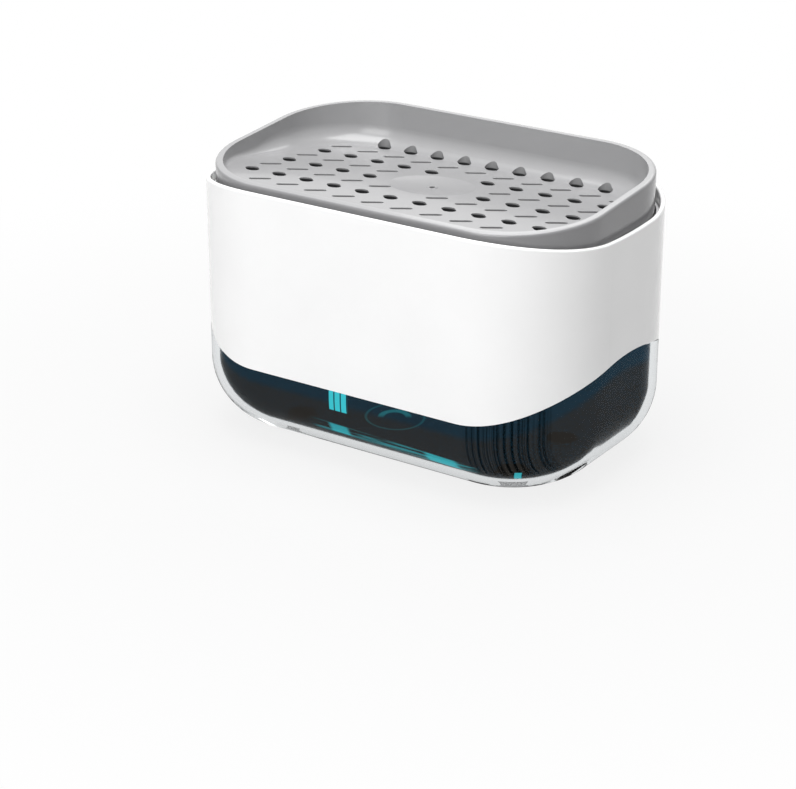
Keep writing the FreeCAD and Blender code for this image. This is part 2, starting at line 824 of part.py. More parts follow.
PIECES = [
    tank(),
    housing_sleeve(),
    *foot_pads(),
    drip_lid(),
    lid_seal(),
    closure_gasket(),
    pump_cylinder(),
    dip_tube(),
    stem_guide(),
    pump_closure(),
    return_spring(),
    inlet_ball(),
    pump_stem(),
    piston(),
    piston_seat(),
    press_tray(),
    tray_hub(),
    stem_o_ring(),
    outlet_nozzle(),
]
doc.recompute()

for item in doc.Objects:
    if "Invalid" in item.State or "Error" in item.State:
        raise RuntimeError(f"{item.Label} failed: {item.State}")
for piece in PIECES:
    if piece.Shape.isNull() or not piece.Shape.isValid():
        raise RuntimeError(f"{piece.Label} has no valid shape")
    if len(piece.Shape.Solids) != 1:
        raise RuntimeError(f"{piece.Label} has {len(piece.Shape.Solids)} solids")

os.makedirs("parts", exist_ok=True)
for piece in PIECES:
    piece.Shape.exportStep(f"parts/{piece.Label}.step")
    box = piece.Shape.BoundBox
    print(piece.Label, round(piece.Shape.Volume, 1), round(box.ZMin, 2), round(box.ZMax, 2))
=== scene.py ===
import math

import bmesh
import bpy
from bpy.props import FloatProperty, FloatVectorProperty, IntProperty, PointerProperty
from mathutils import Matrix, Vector


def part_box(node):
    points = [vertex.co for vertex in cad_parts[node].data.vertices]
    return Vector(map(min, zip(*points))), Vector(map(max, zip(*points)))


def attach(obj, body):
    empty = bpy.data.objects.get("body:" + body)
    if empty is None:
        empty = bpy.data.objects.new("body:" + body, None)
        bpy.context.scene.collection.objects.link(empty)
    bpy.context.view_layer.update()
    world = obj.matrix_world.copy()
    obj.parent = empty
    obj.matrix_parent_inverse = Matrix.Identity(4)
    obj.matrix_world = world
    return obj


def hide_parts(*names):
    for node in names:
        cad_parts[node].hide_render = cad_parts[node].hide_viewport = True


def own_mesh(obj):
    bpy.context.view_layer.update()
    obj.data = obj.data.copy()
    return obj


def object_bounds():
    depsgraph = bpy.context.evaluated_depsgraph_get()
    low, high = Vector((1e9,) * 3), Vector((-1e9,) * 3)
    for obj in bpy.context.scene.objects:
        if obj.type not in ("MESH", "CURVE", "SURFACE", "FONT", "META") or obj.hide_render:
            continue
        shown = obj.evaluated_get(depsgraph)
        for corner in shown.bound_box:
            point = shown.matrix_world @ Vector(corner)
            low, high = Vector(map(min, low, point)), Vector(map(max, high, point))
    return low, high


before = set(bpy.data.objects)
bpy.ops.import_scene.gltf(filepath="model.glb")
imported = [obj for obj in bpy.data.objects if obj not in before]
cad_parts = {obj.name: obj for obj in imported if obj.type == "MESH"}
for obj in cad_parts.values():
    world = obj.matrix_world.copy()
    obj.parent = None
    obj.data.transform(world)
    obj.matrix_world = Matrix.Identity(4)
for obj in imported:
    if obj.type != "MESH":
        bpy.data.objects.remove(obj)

bl_info = {
    "name": "Soap Pump Caddy",
    "version": (1, 0, 0),
    "blender": (4, 5, 0),
    "location": "View3D > Sidebar > Caddy",
    "description": "Finishes, soap filling and studio for a press-down soap pump caddy",
    "category": "Object",
}

CAD_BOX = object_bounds()
PHOTO_WIDTH = 796
SENSOR_MM = 36.0
CORNER_STEPS = 24
ROUND_STEPS = 14
SHARP_ANGLE = math.radians(40)
FLOOR_REACH = 4.0
BLACK = (0.0, 0.0, 0.0, 1.0)
WHITE = (1.0, 1.0, 1.0, 1.0)

# refraction, set low so that the window reads as dark soap behind a thin clear wall
CLEAR_REFRACTION = 1.035
SOAP_REFRACTION = 1.02

# the light that rays thrown back by a clear wall still find in the studio
MIRRORED_LIGHT = 0.3

# outputs of the texture coordinate and light path nodes
OBJECT_COORDINATES = 3
CAMERA_RAY, GLOSSY_RAY, SINGULAR_RAY, REFLECTION_RAY, TRANSMISSION_RAY = 0, 3, 4, 5, 6

# each lamp's name, place and width in metres
LAMPS = (
    ("key", (0.05, -0.80, 0.50), 0.60),
    ("top", (0.02, -0.12, 0.95), 0.80),
    ("back", (-0.30, 0.80, 0.85), 0.60),
)


def length(name, description, default):
    return FloatProperty(name=name, description=description, default=default, unit="LENGTH", precision=5)


def color(name, description, default):
    return FloatVectorProperty(name=name, description=description, default=default, size=3, subtype="COLOR",
                               min=0.0, max=1.0)


def plain(name, description, default):
    return FloatProperty(name=name, description=description, default=default)


class CaddySizes(bpy.types.PropertyGroup):
    """Sizes of the pieces that the scene adds to the solids."""

    length: length("Length", "Length of the tank", 0.145)
    depth: length("Depth", "Depth of the tank", 0.093)
    corner: length("Corner radius", "Radius of the tank's upright corners", 0.034)
    floor: length("Cavity floor", "Height of the tank's inner floor", 0.0032)
    wall: length("Tank wall", "Thickness of the tank's clear wall", 0.0024)
    foot_round: length("Foot round", "Radius where the tank's outer wall meets its bottom", 0.0225)
    mouth_inset: length("Mouth inset", "How far the inside of the tank's mouth lies in from the outside", 0.00415)
    edge_height: length("Edge height", "Height of the sleeve's lower edge at the front", 0.0276)
    edge_rise: length("Edge rise", "How much higher the sleeve's lower edge is at the ends", 0.0152)
    shoulder: length("Shoulder", "Thickness of the clear wall under the sleeve's lower edge", 0.0010)
    soap_gap: length("Soap gap", "Gap between the soap and the tank's wall", 0.0002)
    soap_level: length("Soap level", "Height of the soap's surface", 0.0468)
    rib_width: length("Rib width", "Width of the closure's grip ribs", 0.0011)
    rib_count: IntProperty(name="Rib count", description="Grip ribs round the closure", default=40, min=3)
    tray_front: length("Tray front", "Height of the tray's floor at the front of the caddy", 0.0892)
    tray_fall: length("Tray fall", "How far the tray's floor falls from front to back", 0.0098)
    tray_inset: length("Tray inset", "How far the tray's inner wall lies in from the outside", 0.0056)
    coil_turns: plain("Coil turns", "Turns of the return spring", 5.0)
    coil_wire: length("Coil wire", "Diameter of the spring's wire", 0.0009)
    coil_squeeze: plain("Coil squeeze", "Share of its length that the pressed spring keeps", 0.36)


class CaddyColors(bpy.types.PropertyGroup):
    """Colours of the finishes."""

    sleeve: color("Sleeve", "Gloss white of the sleeve", (0.93, 0.93, 0.93))
    tray: color("Tray", "Satin grey of the tray", (0.325, 0.325, 0.33))
    # painted shade: the tray's outer wall is the same plastic as the tray, given a darker grey
    skirt_shade: color("Tray skirt", "Darker grey of the tray's outer wall", (0.225, 0.225, 0.23))
    # painted shade: the dark grey inside the tray's drain holes, where they fall into shadow
    drain_shade_tone: color("Residue", "Dark film inside the tray's drain holes", (0.035, 0.035, 0.037))
    outlet: color("Outlet", "Grey of the soap outlet", (0.22, 0.22, 0.225))
    collar: color("Lid collar", "White of the lid's collar", (0.80, 0.80, 0.80))
    # painted shade: the dark grey of the lid below its seam, in the drip space under the tray
    shaded_basin: color("Drip basin", "Dark grey of the lid's drip basin", (0.10, 0.10, 0.105))
    pump: color("Pump", "Off-white of the pump's mouldings", (0.80, 0.81, 0.80))
    piston: color("Piston", "Dark grey of the piston", (0.12, 0.13, 0.16))
    clear: color("Clear wall", "Faint tint of the tank's clear wall", (0.80, 0.82, 0.83))
    tube: color("Tube", "Tint of the suction tube", (0.80, 0.90, 0.92))
    soap: color("Soap", "Tint of the liquid soap", (0.003, 0.014, 0.024))
    # painted light: the cyan, grey and blue below are colours of a glow in the soap's emission
    gleam: color("Gleam", "Cyan of the light caught in the soap", (0.058, 0.64, 0.72))
    glow_haze: color("Haze", "Grey of the light scattered in the soap", (0.026, 0.0225, 0.0195))
    sheen: color("Upper haze", "Blue of the light scattered near the soap's surface", (0.013, 0.025, 0.036))
    feet: color("Feet", "Faint tint of the clear rubber feet", (0.88, 0.88, 0.88))
    seal: color("Seals", "Grey rubber of the seals", (0.32, 0.32, 0.33))
    steel: color("Steel", "Steel of the spring and the ball", (0.60, 0.61, 0.63))


class CaddyStage(bpy.types.PropertyGroup):
    """Camera and light of the studio."""

    camera_place: FloatVectorProperty(name="Camera", description="Where the camera stands", size=3,
                                      default=(0.3709, -0.5709, 0.3027), subtype="TRANSLATION", unit="LENGTH")
    camera_turn: FloatProperty(name="Turn", description="Turn of the view from the front towards the right end",
                               default=math.radians(33.93), subtype="ANGLE")
    camera_tilt: FloatProperty(name="Tilt", description="How far the view looks down", subtype="ANGLE",
                               default=math.radians(23.14))
    focal_pixels: plain("Focal length", "Focal length in pixels of the picture's width", 2233.0)
    room_light: plain("Room light", "Strength of the even light from all round", 0.22)
    key_power: plain("Key light", "Power of the light at the front in watts", 3.9)
    top_power: plain("Top light", "Power of the light overhead in watts", 11.0)
    back_power: plain("Back light", "Power of the light behind the object in watts", 2.4)
    floor_color: color("Floor", "Colour of the pale floor", (0.46, 0.46, 0.46))
    floor_white: plain("Floor white", "Share of plain white that the floor shows next to the object", 0.84)


class Socket:
    """A shader socket that takes part in Python sums."""

    def __init__(self, finish, output):
        self.finish = finish
        self.output = output

    def __add__(self, other):
        return self.finish.math("ADD", self, other)

    __radd__ = __add__

    def __sub__(self, other):
        return self.finish.math("SUBTRACT", self, other)

    def __rsub__(self, other):
        return self.finish.math("SUBTRACT", other, self)

    def __mul__(self, other):
        return self.finish.math("MULTIPLY", self, other)

    __rmul__ = __mul__


class Finish:
    """A node tree and the one method that adds nodes to it."""

    def __init__(self, tree):
        self.tree = tree
        tree.nodes.clear()

    def node(self, kind, settings=None, sockets=None, output=0):
        made = self.tree.nodes.new(kind)
        for name, value in (settings or {}).items():
            setattr(made, name, value)
        targets = {target.identifier: target for target in made.inputs}
        for name, value in (sockets or {}).items():
            if isinstance(value, Socket):
                self.tree.links.new(value.output, targets[name])
            else:
                targets[name].default_value = value
        return Socket(self, made.outputs[output]) if made.outputs else None

    def math(self, operation, first, second):
        return self.node("ShaderNodeMath", {"operation": operation}, {"Value": first, "Value_001": second})

    def place(self):
        return self.node("ShaderNodeTexCoord", output=OBJECT_COORDINATES)

    def ray(self, kind):
        return self.node("ShaderNodeLightPath", output=kind)

    def noise(self, place, scale, detail=2.0):
        return self.node("ShaderNodeTexNoise", {}, {"Vector": place, "Scale": scale, "Detail": detail})

    def blend(self, share, first, second):
        sockets = {"Factor_Float": share, "A_Color": first, "B_Color": second}
        return self.node("ShaderNodeMix", {"data_type": "RGBA"}, sockets, output=2)

    def apart(self, place):
        """The three coordinates of a place."""
        return [self.node("ShaderNodeSeparateXYZ", {}, {"Vector": place}, output=axis) for axis in range(3)]

    def band(self, value, low, high, soft):
        """1 between two ends and 0 outside them, with soft edges."""
        return self.between(value, low - soft, low) * self.between(value, high + soft, high)

    def between(self, value, low, high):
        """A smooth step from 0 at the low end to 1 at the high end."""
        sockets = {"Value": value, "From Min": low, "From Max": high}
        return self.node("ShaderNodeMapRange", {"interpolation_type": "SMOOTHSTEP"}, sockets)

    def bump(self, height, distance):
        return self.node("ShaderNodeBump", {}, {"Height": height, "Distance": distance, "Strength": 1.0})

    def surface(self, sockets):
        shader = self.node("ShaderNodeBsdfPrincipled", {}, sockets)
        self.node("ShaderNodeOutputMaterial", {}, {"Surface": shader})


def new_material(name):
    material = bpy.data.materials.new(name)
    material.use_nodes = True
    return material, Finish(material.node_tree)


def shade(tone, share):
    """A colour made darker or lighter by a share, with full alpha."""
    return (*[min(part * share, 1.0) for part in tone], 1.0)


def moulded_plastic(name, tone, roughness, grain_scale, grain_depth, coat=0.0):
    """Injection-moulded plastic: faint flow marks, a fine grain and uneven gloss."""
    material, finish = new_material(name)
    place = finish.place()
    flow = finish.noise(place, 38.0, 3.0)
    grain = finish.noise(place, grain_scale, 2.0)
    rubbed = finish.noise(place, 160.0, 4.0)
    finish.surface({
        "Base Color": finish.blend(flow, shade(tone, 0.97), shade(tone, 1.03)),
        "Roughness": roughness * 0.85 + rubbed * (roughness * 0.3),
        "Coat Weight": coat,
        "Coat Roughness": 0.04,
        "Normal": finish.bump(grain, grain_depth),
    })
    return material


def drained_plastic(name, tones, sizes):
    """Glossy grey plastic with a fine grain, with painted shade on its outer wall and inside the drain holes."""
    material, finish = new_material(name)
    place = finish.place()
    x, y, z = finish.apart(place)
    flow = finish.noise(place, 38.0, 3.0)
    grain = finish.noise(place, 2400.0, 2.0)
    rubbed = finish.noise(place, 160.0, 4.0)
    past_x = finish.math("MAXIMUM", finish.math("ABSOLUTE", x, 0.0) - (sizes.length / 2 - sizes.corner), 0.0)
    past_y = finish.math("MAXIMUM", finish.math("ABSOLUTE", y, 0.0) - (sizes.depth / 2 - sizes.corner), 0.0)
    reach = finish.math("SQRT", past_x * past_x + past_y * past_y, 0.0)
    wall = sizes.corner - sizes.tray_inset
    dish, thickness, rim = 0.0146, 0.0015, 0.0021
    inside = finish.between(reach, wall - 0.0002, wall - 0.0006)
    outside = finish.between(reach, wall + rim - 0.0002, wall + rim + 0.0002)
    away = finish.between(finish.math("SQRT", x * x + y * y, 0.0), dish - 0.0004, dish + 0.0004)
    # the walls of the drain holes, below the floor's top and inside the inner wall, are painted dark as shade
    below = sizes.tray_front - (y + sizes.depth / 2) * (sizes.tray_fall / sizes.depth) - z
    hole_shade = finish.between(below, 0.0002, 0.0007)
    hole_shade = hole_shade * finish.between(below, thickness + 0.00006, thickness - 0.00004)
    # the outer wall takes the darker grey as painted shade
    pale = finish.blend(outside, shade(tones.tray, 1.03), shade(tones.skirt_shade, 1.03))
    without_hole_shade = finish.blend(flow, finish.blend(outside, shade(tones.tray, 0.97), shade(tones.skirt_shade, 0.97)), pale)
    finish.surface({
        "Base Color": finish.blend(hole_shade * inside * away, without_hole_shade, shade(tones.drain_shade_tone, 1.0)),
        "Roughness": 0.19 + rubbed * 0.07,
        "Coat Weight": 0.2,
        "Coat Roughness": 0.04,
        "Normal": finish.bump(grain, 0.000006),
    })
    return material


def plastic_shaded_below_seam(name, lower, upper, seam, roughness):
    """One plastic with a darker colour below a seam height, painted as shade, a lighter colour above it and a
    fine grain.
    """
    material, finish = new_material(name)
    place = finish.place()
    height = finish.apart(place)[2]
    flow = finish.noise(place, 38.0, 3.0)
    grain = finish.noise(place, 1500.0, 2.0)
    above = finish.between(height, seam - 0.0001, seam + 0.0001)
    finish.surface({
        "Base Color": finish.blend(above, finish.blend(flow, shade(lower, 0.94), shade(lower, 1.06)),
                                   finish.blend(flow, shade(upper, 0.97), shade(upper, 1.03))),
        "Roughness": roughness * 0.85 + flow * (roughness * 0.3),
        "Normal": finish.bump(grain, 0.00001),
    })
    return material


def clear_plastic(name, tone):
    """Clear moulded plastic with a faint waviness and hairline scuffs."""
    material, finish = new_material(name)
    place = finish.place()
    scuff = finish.between(finish.noise(place, 420.0, 5.0), 0.62, 0.8)
    wave = finish.noise(place, 26.0, 1.0)
    faint = finish.blend(wave, shade(tone, 0.98), shade(tone, 1.0))
    finish.surface({
        "Base Color": finish.blend(scuff, faint, shade(tone, 0.9)),
        "Roughness": 0.0,
        "Transmission Weight": 1.0,
        "IOR": CLEAR_REFRACTION,
        "Specular Tint": BLACK,
    })
    return material


def bar_gleams(finish, x, z):
    """Three upright bars of painted light on the soap, behind the front wall, under the sleeve's edge."""
    left, right, low, high = -0.0099, -0.0029, 0.0201, 0.0300
    start, half_pitch = -0.0104, 0.00122
    across = finish.math("PINGPONG", x - start, half_pitch)
    bars = finish.between(across, 0.00012, 0.00034) * finish.band(x, left, right, 0.0001)
    return bars * finish.band(z, low, high, 0.0003)


def foot_gleams(finish, place, x, z):
    """Streaks and brighter patches of light along the tank's round foot."""
    left, right, low, high = -0.014, 0.038, 0.0098, 0.0132
    level_at, slant = 0.010, 0.045
    height = z + (x - level_at) * slant
    stretched = finish.node("ShaderNodeMapping", {}, {"Vector": place, "Scale": (40.0, 40.0, 900.0)})
    streak = finish.between(finish.noise(stretched, 1.0), 0.42, 0.62)
    strip = finish.band(height, low, high, 0.0006) * finish.band(x, left, right, 0.006) * streak * 0.5
    patches = finish.band(x, -0.0105, -0.0055, 0.002) + finish.band(x, 0.026, 0.034, 0.003)
    patches = finish.band(height, 0.0104, 0.0130, 0.0008) * patches * 0.8
    glint_low, glint_high, glint_lean = 0.0072, 0.0108, 0.55
    glint = finish.band(x - (z - glint_low) * glint_lean, 0.0517, 0.0532, 0.0003)
    glint = glint * finish.band(z, glint_low, glint_high, 0.0003)
    return finish.math("MINIMUM", strip + patches + glint, 1.0)


def ring_gleams(finish, x, z):
    """Faint rings of painted light, as of the pump's foot seen through the soap."""
    middle_x, middle_z, lean = 0.0152, 0.0234, 0.24
    half_width, half_height = 0.01125, 0.0045
    across = (x - middle_x) * (1 / half_width)
    up = (z - middle_z - (x - middle_x) * lean) * (1 / half_height)
    ring = finish.math("SQRT", across * across + up * up, 0.0)
    crescent = finish.band(ring, 0.40, 0.52, 0.08) * finish.between(up, -0.1, 0.2)
    return finish.band(ring, 0.96, 1.0, 0.05) * 0.35 + crescent


def corner_shadows(finish, place, x, y, z):
    """Upright dark stripes round the tank's near corner."""
    left, right, foot = 0.0425, 0.0620, 0.008
    across = finish.node("ShaderNodeMapping", {}, {"Vector": place, "Scale": (1050.0, 0.0, 0.0)})
    stripes = finish.between(finish.noise(across, 1.0, 3.0), 0.44, 0.60)
    reach = finish.band(x, left, right, 0.003) * finish.between(y, 0.0, -0.010)
    return stripes * reach * finish.between(z, foot, foot + 0.002)


def liquid_soap(name, tones, sizes):
    """Deep blue liquid with painted light in its emission: gleams near the front wall and along the round foot,
    and a grey and blue glow darkened by painted shadow stripes round the near corner.
    """
    material, finish = new_material(name)
    place = finish.place()
    x, y, z = finish.apart(place)
    front = finish.between(y, -0.024, -0.030)
    # painted light: the gleams glow on the front of the soap
    glow = bar_gleams(finish, x, z) + foot_gleams(finish, place, x, z) * 0.7
    glow = glow + ring_gleams(finish, x, z) * 0.18
    arch = sizes.edge_rise / (sizes.depth / 2) ** 2
    under_edge = sizes.edge_height + sizes.edge_rise - y * y * arch - z
    near_edge = finish.between(under_edge, 0.0085, 0.0055)
    # painted light: a grey glow all over the soap, bluer just under the sleeve's edge
    glow_haze = finish.blend(near_edge, shade(tones.glow_haze, 1.0), shade(tones.sheen, 1.0))
    glow_haze = finish.blend(corner_shadows(finish, place, x, y, z), glow_haze, BLACK)
    # the soap's tint is darker towards the bottom and lighter towards its surface, along a noisy boundary
    cloud = finish.noise(place, 30.0, 2.0)
    upper = finish.between(z + cloud * 0.004, 0.0, sizes.soap_level)
    finish.surface({
        "Base Color": finish.blend(upper, shade(tones.soap, 0.6), shade(tones.soap, 1.15)),
        "Roughness": 0.0,
        "Transmission Weight": 1.0,
        "IOR": SOAP_REFRACTION,
        # the emission paints the grey and blue glow and the cyan gleams as light
        "Emission Color": finish.blend(glow * front, glow_haze, shade(tones.gleam, 1.0)),
        "Emission Strength": 1.0,
    })
    return material


def soft_rubber(name, tone):
    """Matt rubber with a talc-like bloom and a fine grain."""
    material, finish = new_material(name)
    place = finish.place()
    bloom = finish.noise(place, 240.0, 4.0)
    grain = finish.noise(place, 2600.0, 2.0)
    finish.surface({
        "Base Color": finish.blend(bloom, shade(tone, 0.85), shade(tone, 1.25)),
        "Roughness": 0.62 + bloom * 0.25,
        "Normal": finish.bump(grain, 0.00003),
    })
    return material


def drawn_steel(name, tone, roughness):
    """Steel with fine marks left by drawing or grinding."""
    material, finish = new_material(name)
    place = finish.place()
    drawn = finish.noise(place, 1800.0, 3.0)
    stain = finish.noise(place, 200.0, 2.0)
    finish.surface({
        "Base Color": finish.blend(stain, shade(tone, 0.9), shade(tone, 1.1)),
        "Metallic": 1.0,
        "Roughness": roughness + drawn * 0.1,
        "Normal": finish.bump(drawn, 0.000004),
    })
    return material


def paint(material, *nodes):
    """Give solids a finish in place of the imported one."""
    for node in nodes:
        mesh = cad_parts[node].data
        mesh.materials.clear()
        mesh.materials.append(material)


def new_piece(name, mesh, material, body):
    """Put a finished mesh into the scene as a piece that rides on a body."""
    piece = bpy.data.objects.new(name, mesh)
    bpy.context.scene.collection.objects.link(piece)
    mesh.materials.clear()
    mesh.materials.append(material)
    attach(piece, body)
    return piece


def outline(sizes, inset):
    """Points round the tank's plan, drawn in by an inset, counter-clockwise."""
    radius = sizes.corner - inset
    centre_x = sizes.length / 2 - sizes.corner
    centre_y = sizes.depth / 2 - sizes.corner
    points = []
    for number, (side_x, side_y) in enumerate(((1, 1), (-1, 1), (-1, -1), (1, -1))):
        for step in range(CORNER_STEPS + 1):
            angle = (number + step / CORNER_STEPS) * math.pi / 2
            points.append((side_x * centre_x + radius * math.cos(angle),
                           side_y * centre_y + radius * math.sin(angle)))
    return points


def soap_rings(sizes):
    """Rings of the soap's wall from its floor to its surface, as points in space."""
    inset = sizes.wall + sizes.soap_gap
    low = sizes.floor + sizes.soap_gap
    radius = sizes.foot_round - inset
    rings = []
    for step in range(ROUND_STEPS + 1):
        angle = step / ROUND_STEPS * math.pi / 2
        drawn_in = inset + radius * (1 - math.sin(angle))
        height = low + radius * (1 - math.cos(angle))
        rings.append([(x, y, height) for x, y in outline(sizes, drawn_in)])
    half = sizes.depth / 2
    arch = (half * half + sizes.edge_rise ** 2) / (2 * sizes.edge_rise)
    arch_middle = sizes.edge_height + sizes.edge_rise - arch
    inner_arch = arch - sizes.shoulder - sizes.soap_gap
    shoulder = [arch_middle + math.sqrt(inner_arch ** 2 - y * y) for x, y in outline(sizes, inset)]
    rings.append([(x, y, height) for (x, y), height in zip(outline(sizes, inset), shoulder)])
    mouth = outline(sizes, sizes.mouth_inset + sizes.soap_gap)
    rings.append([(x, y, height) for (x, y), height in zip(mouth, shoulder)])
    rings.append([(x, y, sizes.soap_level) for x, y in mouth])
    return rings


def lofted(name, rings):
    """A closed mesh through rings of equally many points, capped at both ends."""
    shell = bmesh.new()
    loops = [[shell.verts.new(point) for point in ring] for ring in rings]
    count = len(rings[0])
    for lower, upper in zip(loops, loops[1:]):
        for number in range(count):
            following = (number + 1) % count
            shell.faces.new((lower[number], lower[following], upper[following], upper[number]))
    shell.faces.new(list(reversed(loops[0])))
    shell.faces.new(loops[-1])
    for face in shell.faces:
        face.smooth = len(face.verts) == 4
    mesh = bpy.data.meshes.new(name)
    shell.to_mesh(mesh)
    shell.free()
    mesh.set_sharp_from_angle(angle=SHARP_ANGLE)
    return mesh


class NodeShape:
    """A Geometry Nodes tree with named inputs, and the mesh that it makes."""

    def __init__(self, name):
        self.name = name
        self.tree = bpy.data.node_groups.new(name, "GeometryNodeTree")
        self.tree.interface.new_socket("Geometry", in_out="OUTPUT", socket_type="NodeSocketGeometry")
        self.values = {}
        self.entry = self.tree.nodes.new("NodeGroupInput")
        self.exit = self.tree.nodes.new("NodeGroupOutput")

    def size(self, name, value, kind="NodeSocketFloat"):
        socket = self.tree.interface.new_socket(name, in_out="INPUT", socket_type=kind)
        self.values[socket.identifier] = value
        return next(item for item in self.entry.outputs if item.identifier == socket.identifier)

    def node(self, kind, settings=None, sockets=None, output=0):
        made = self.tree.nodes.new(kind)
        for name, value in (settings or {}).items():
            setattr(made, name, value)
        targets = {target.identifier: target for target in made.inputs}
        for name, value in (sockets or {}).items():
            if isinstance(value, bpy.types.NodeSocket):
                self.tree.links.new(value, targets[name])
            else:
                targets[name].default_value = value
        return made.outputs[output]

    def mesh(self, geometry, material):
        realized = self.node("GeometryNodeRealizeInstances", {}, {"Geometry": geometry})
        dressed = self.node("GeometryNodeSetMaterial", {}, {"Geometry": realized, "Material": material})
        self.tree.links.new(dressed, self.exit.inputs[0])
        holder = bpy.data.objects.new(f"{self.name}_holder", bpy.data.meshes.new(f"{self.name}_seed"))
        bpy.context.scene.collection.objects.link(holder)
        modifier = holder.modifiers.new(self.name, "NODES")
        modifier.node_group = self.tree
        for identifier, value in self.values.items():
            modifier[identifier] = value
        seen = holder.evaluated_get(bpy.context.evaluated_depsgraph_get())
        made = bpy.data.meshes.new_from_object(seen)
        made.name = self.name
        bpy.data.objects.remove(holder)
        if not made.polygons:
            raise RuntimeError(f"{self.name} came out empty")
        return made


class FinishSleeve(bpy.types.Operator):
    """Give the sleeve its gloss white finish"""

    bl_idname = "caddy.finish_sleeve"
    bl_label = "Sleeve"

    def execute(self, context):
        tones = context.scene.caddy_colors
        paint(moulded_plastic("white_gloss", tones.sleeve, 0.16, 900.0, 0.000004, coat=0.4), "housing_sleeve")
        return {"FINISHED"}


class FinishTank(bpy.types.Operator):
    """Give the tank its clear wall and the feet their clear rubber"""

    bl_idname = "caddy.finish_tank"
    bl_label = "Tank and feet"

    def execute(self, context):
        tones = context.scene.caddy_colors
        paint(clear_plastic("clear_wall", tones.clear), "tank")
        feet = [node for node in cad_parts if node.startswith("foot_pad")]
        paint(clear_plastic("foot_rubber", tones.feet), *feet)
        return {"FINISHED"}


class FillSoap(bpy.types.Operator):
    """Fill the tank with soap"""

    bl_idname = "caddy.fill_soap"
    bl_label = "Soap"

    def execute(self, context):
        sizes = context.scene.caddy_sizes
        tones = context.scene.caddy_colors
        mesh = lofted("soap", soap_rings(sizes))
        new_piece("soap", mesh, liquid_soap("liquid_soap", tones, sizes), "base")
        return {"FINISHED"}


class FinishLid(bpy.types.Operator):
    """Give the lid its white collar and a lower part painted dark as shade, and the seals their rubber"""

    bl_idname = "caddy.finish_lid"
    bl_label = "Lid and seals"

    def execute(self, context):
        tones = context.scene.caddy_colors
        low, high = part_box("drip_lid")
        # below the seam the lid is painted dark grey as shade
        seam = low.z + (high.z - low.z) * 0.52
        paint(plastic_shaded_below_seam("lid_plastic", tones.shaded_basin, tones.collar, seam, 0.36), "drip_lid")
        paint(soft_rubber("seal_rubber", tones.seal), "lid_seal", "closure_gasket", "stem_o_ring")
        return {"FINISHED"}


class FinishPump(bpy.types.Operator):
    """Give the pump's mouldings, tube and ball their finishes"""

    bl_idname = "caddy.finish_pump"
    bl_label = "Pump"

    def execute(self, context):
        tones = context.scene.caddy_colors
        pump = moulded_plastic("pump_plastic", tones.pump, 0.32, 1800.0, 0.000008)
        paint(pump, "pump_cylinder", "stem_guide", "pump_closure", "pump_stem", "piston_seat")
        paint(moulded_plastic("piston_plastic", tones.piston, 0.42, 2200.0, 0.000008), "piston")
        paint(moulded_plastic("tube_plastic", tones.tube, 0.2, 1200.0, 0.000006), "dip_tube")
        paint(drawn_steel("ball_steel", tones.steel, 0.08), "inlet_ball")
        return {"FINISHED"}


class RibClosure(bpy.types.Operator):
    """Set grip ribs round the pump's closure"""

    bl_idname = "caddy.rib_closure"
    bl_label = "Closure ribs"

    def execute(self, context):
        sizes = context.scene.caddy_sizes
        low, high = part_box("pump_closure")
        band = high.z - low.z
        shape = NodeShape("closure_ribs")
        radius = shape.size("Radius", high.x)
        count = shape.size("Count", sizes.rib_count, "NodeSocketInt")
        width = shape.size("Width", sizes.rib_width)
        height = shape.size("Height", band * 0.8)
        middle = shape.size("Middle", (0.0, 0.0, low.z + band * 0.47), "NodeSocketVector")
        ring = shape.node("GeometryNodeCurvePrimitiveCircle", {}, {"Resolution": count, "Radius": radius})
        rod = shape.node("GeometryNodeMeshCylinder", {"fill_type": "NGON"},
                         {"Vertices": 10, "Radius": width, "Depth": height})
        spots = shape.node("GeometryNodeCurveToPoints", {"mode": "EVALUATED"}, {"Curve": ring})
        ribs = shape.node("GeometryNodeInstanceOnPoints", {}, {"Points": spots, "Instance": rod})
        placed = shape.node("GeometryNodeTransform", {}, {"Geometry": ribs, "Translation": middle})
        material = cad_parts["pump_closure"].data.materials[0]
        piece = new_piece("closure_ribs", shape.mesh(placed, material), material, "lid")
        return {"FINISHED"}


class WindSpring(bpy.types.Operator):
    """Wind the return spring as a coil that rides on the lid"""

    bl_idname = "caddy.wind_spring"
    bl_label = "Return spring"

    def execute(self, context):
        sizes = context.scene.caddy_sizes
        tones = context.scene.caddy_colors
        low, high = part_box("return_spring")
        shape = NodeShape("spring_coil")
        turns = shape.size("Turns", sizes.coil_turns)
        wire = shape.size("Wire radius", sizes.coil_wire / 2)
        radius = shape.size("Coil radius", (high.x - low.x - sizes.coil_wire) / 2)
        climb = shape.size("Coil height", high.z - low.z - sizes.coil_wire)
        start = shape.size("Start", (0.0, 0.0, low.z + sizes.coil_wire / 2), "NodeSocketVector")
        coil = shape.node("GeometryNodeCurveSpiral", {}, {
            "Resolution": 40, "Rotations": turns, "Start Radius": radius, "End Radius": radius, "Height": climb})
        section = shape.node("GeometryNodeCurvePrimitiveCircle", {}, {"Resolution": 12, "Radius": wire})
        tube = shape.node("GeometryNodeCurveToMesh", {},
                          {"Curve": coil, "Profile Curve": section, "Fill Caps": True})
        placed = shape.node("GeometryNodeTransform", {}, {"Geometry": tube, "Translation": start})
        material = drawn_steel("spring_steel", tones.steel, 0.22)
        piece = new_piece("spring_coil", shape.mesh(placed, material), material, "lid")
        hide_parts("return_spring")
        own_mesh(piece)
        return {"FINISHED"}


